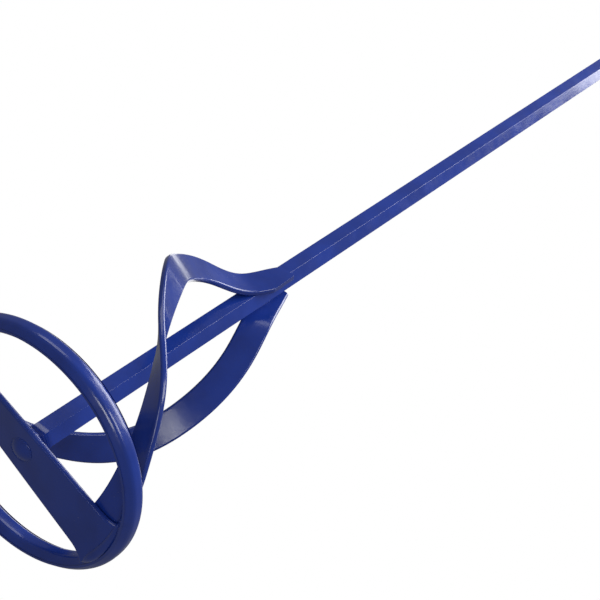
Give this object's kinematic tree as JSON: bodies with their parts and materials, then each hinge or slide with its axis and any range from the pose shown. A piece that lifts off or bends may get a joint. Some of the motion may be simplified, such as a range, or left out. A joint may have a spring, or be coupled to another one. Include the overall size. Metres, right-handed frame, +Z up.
{
  "type": "mortar mixing paddle",
  "caption": "Drill-driven mixing paddle: a hexagon shaft with twisted strip blades that run down to a crossbar inside a round guard ring.",
  "frame": {"origin": "on the shaft's axis at the lowest point of the rivet head under the crossbar", "axes": "+Z up the shaft to the shank end, +X along the crossbar, +Y across it"},
  "size_m": [0.12, 0.12, 0.6],
  "materials": {
    "blue_enamel": "glossy",
    "enamelled_weld": "glossy"
  },
  "bodies": {
    "root": {"hex_shaft": "blue_enamel", "crossbar": "blue_enamel", "ring": "blue_enamel", "centre_rivet": "blue_enamel", "blade_a": "blue_enamel", "blade_b": "blue_enamel", "weld_shaft_crossbar": "enamelled_weld", "weld_blade_a_shaft": "enamelled_weld", "weld_blade_b_shaft": "enamelled_weld", "weld_blade_a_ring": "enamelled_weld", "weld_blade_b_ring": "enamelled_weld", "weld_crossbar_ring_a": "enamelled_weld", "weld_crossbar_ring_b": "enamelled_weld"}
  },
  "joints": []
}
